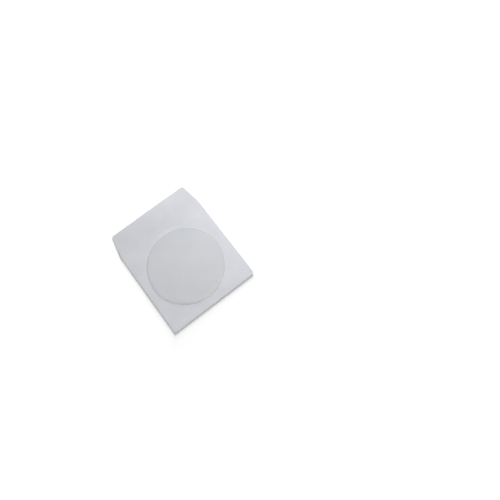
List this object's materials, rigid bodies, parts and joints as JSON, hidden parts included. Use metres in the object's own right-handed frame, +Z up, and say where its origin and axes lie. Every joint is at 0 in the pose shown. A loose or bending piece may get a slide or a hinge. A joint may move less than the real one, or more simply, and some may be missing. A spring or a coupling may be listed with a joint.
{
  "type": "paper sleeve",
  "caption": "Square white paper disc sleeve with a round window of clear film and a tapered closing flap lying open.",
  "frame": {"origin": "on the surface that the sleeve lies on, under the middle of its outline with the flap open", "axes": "+X across the sleeve, +Y from the bottom fold to the open flap, +Z up out of the window side"},
  "size_m": [0.125, 0.153, 0.0017],
  "materials": {
    "paper": "matte",
    "film": "gloss"
  },
  "bodies": {
    "root": {"folded_paper": "paper", "window_film": "film"}
  },
  "joints": []
}
